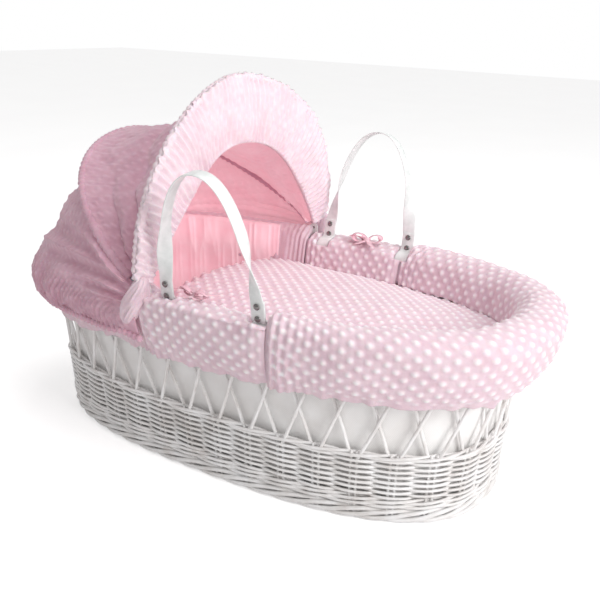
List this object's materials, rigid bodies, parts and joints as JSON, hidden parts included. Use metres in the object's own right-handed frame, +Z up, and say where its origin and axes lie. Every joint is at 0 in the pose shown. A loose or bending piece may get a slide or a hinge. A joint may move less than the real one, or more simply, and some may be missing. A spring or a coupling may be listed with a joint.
{
  "type": "moses basket",
  "caption": "Oval white wicker moses basket with a padded dimpled dressing, two strap handles, a plumped coverlet and a folding fabric hood on two hoops.",
  "frame": {"origin": "middle of the basket's woven base, on the surface it stands on", "axes": "+X towards the foot end, the hood and head end at -X; +Y across the basket; +Z up"},
  "size_m": [0.8901, 0.523, 0.576],
  "materials": {
    "willow": "white paint, satin",
    "liner": "plain woven cotton",
    "mattress": "quilted polyester cover",
    "plush": "soft short pile with raised dimples",
    "lining": "plain brushed cotton",
    "ribbon": "satin",
    "strap": "smooth white coated leather",
    "rivet": "polished nickel plate",
    "bracket": "white powder coat",
    "hoop": "zinc-plated spring wire"
  },
  "bodies": {
    "basket": {"foot_border": "willow", "base_weave": "willow", "base_sticks": "willow", "lower_band": "willow", "stakes": "willow", "upper_band": "willow", "rim_border": "willow", "liner": "liner", "mattress": "mattress", "coverlet": "plush", "head_bumper": "lining", "trim_foot": "plush", "trim_head": "plush", "trim_flap_near": "plush", "trim_flap_far": "plush", "ribbon_bow_near": "ribbon", "ribbon_bow_far": "ribbon", "hood_bracket_near": "bracket", "hood_bracket_far": "bracket", "bracket_screws": "rivet", "hood_pin_near": "rivet", "hood_pin_far": "rivet", "hood_hem": "plush", "hood_back_panel": "plush"},
    "handle_near": {"handle_near_strap": "strap", "handle_near_rivets": "rivet"},
    "handle_far": {"handle_far_strap": "strap", "handle_far_rivets": "rivet"},
    "hood_rear": {"hood_rear_hoop": "hoop", "hood_front_panel": "plush"},
    "hood_front": {"hood_front_hoop": "hoop", "hood_facing": "plush"}
  },
  "joints": [
    {"name": "handle_near_swing", "type": "hinge", "parent": "basket", "child": "handle_near", "pos_m": [0.0475, -0.21097, 0.265], "axis": [1, 0, 0], "range_deg": [-78, 12]},
    {"name": "handle_far_swing", "type": "hinge", "parent": "basket", "child": "handle_far", "pos_m": [0.0475, 0.21097, 0.265], "axis": [-1, 0, 0], "range_deg": [-78, 12]},
    {"name": "hood_rear_fold", "type": "hinge", "parent": "basket", "child": "hood_rear", "pos_m": [-0.066, 0, 0.292], "axis": [0, -1, 0], "range_deg": [0, 31], "deforming": ["hood_back_panel"]},
    {"name": "hood_front_fold", "type": "hinge", "parent": "hood_rear", "child": "hood_front", "pos_m": [-0.066, 0, 0.292], "axis": [0, -1, 0], "range_deg": [0, 39], "deforming": ["hood_front_panel"]}
  ],
  "couplings": [
    {"joint": "hood_front_fold", "follows": "hood_rear_fold", "ratio": 1.25}
  ]
}
